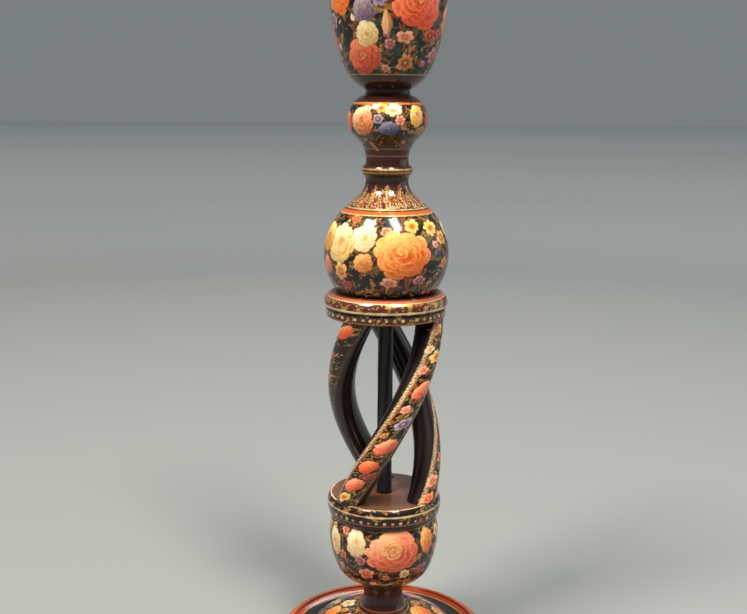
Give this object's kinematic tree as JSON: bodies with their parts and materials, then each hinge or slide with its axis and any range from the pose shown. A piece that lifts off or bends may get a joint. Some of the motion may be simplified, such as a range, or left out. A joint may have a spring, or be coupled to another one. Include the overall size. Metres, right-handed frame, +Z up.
{
  "type": "painted lacquer candlestick",
  "caption": "Turned wooden candlestick with flower painting under lacquer, an open twist stem around an iron rod, and a loose brass candle nozzle.",
  "frame": {"origin": "centre of the foot's resting face, on the turning axis", "axes": "+Z up the turning axis towards the cup; -Y faces the viewer, where the front bar crosses from lower left to upper right"},
  "size_m": [0.142, 0.142, 0.456],
  "materials": {
    "floral_lacquer": "flower painting on a black-brown ground under glossy amber lacquer",
    "bar_lacquer": "black lacquer with a painted band of gold leaves and small roses",
    "collar_lacquer": "brown-black lacquer with painted lines and rows of gold dots",
    "black_iron": "black-painted iron rod",
    "zinc_steel": "zinc-plated steel",
    "brass": "spun sheet brass, slightly tarnished",
    "felt": "dark green wool felt"
  },
  "bodies": {
    "root": {"base_felt": "felt", "foot": "floral_lacquer", "lower_washer": "zinc_steel", "lower_nut": "zinc_steel", "lower_bulb": "floral_lacquer", "lower_collar": "collar_lacquer", "twist_bar_front": "bar_lacquer", "twist_bar_right": "bar_lacquer", "twist_bar_left": "bar_lacquer", "tie_rod": "black_iron", "upper_collar": "collar_lacquer", "upper_bulb": "floral_lacquer", "upper_washer": "zinc_steel", "upper_nut": "zinc_steel", "knop": "floral_lacquer", "candle_cup": "floral_lacquer"},
    "nozzle": {"nozzle_tube": "brass", "drip_pan": "brass"}
  },
  "joints": [
    {"name": "nozzle_lift", "type": "slide", "parent": "root", "child": "nozzle", "axis": [0, 0, 1], "range_m": [0, 0.04]}
  ]
}
